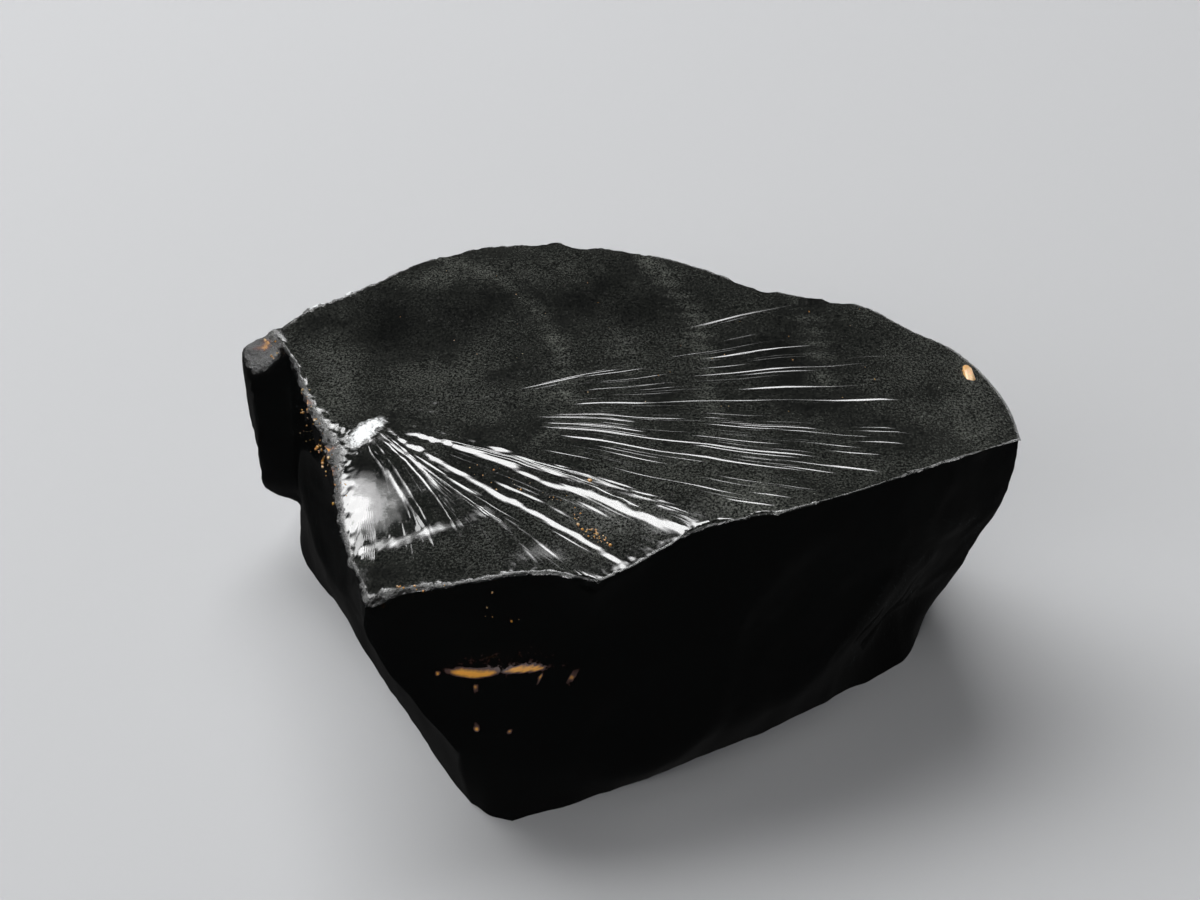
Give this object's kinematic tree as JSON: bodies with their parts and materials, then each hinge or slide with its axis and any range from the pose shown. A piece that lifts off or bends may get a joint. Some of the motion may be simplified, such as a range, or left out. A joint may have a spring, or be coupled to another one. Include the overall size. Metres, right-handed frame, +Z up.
{
  "type": "raw shungite stone",
  "caption": "Raw noble shungite: a glassy black hand-broken stone with a broad shell-like break on top, rests on its flat base.",
  "frame": {"origin": "centre of the stone's bounding box in plan, on the plane that its flat base rests on", "axes": "+X towards the pointed right tip along the stone's length, +Y away from the front corner, +Z up from the base to the broken top face"},
  "size_m": [0.043, 0.0318, 0.0164],
  "materials": {
    "shungite": "glassy jet black, freshly broken, with a thin film of dust and a little rust-coloured stain"
  },
  "bodies": {
    "root": {"shungite_chunk": "shungite"}
  },
  "joints": []
}
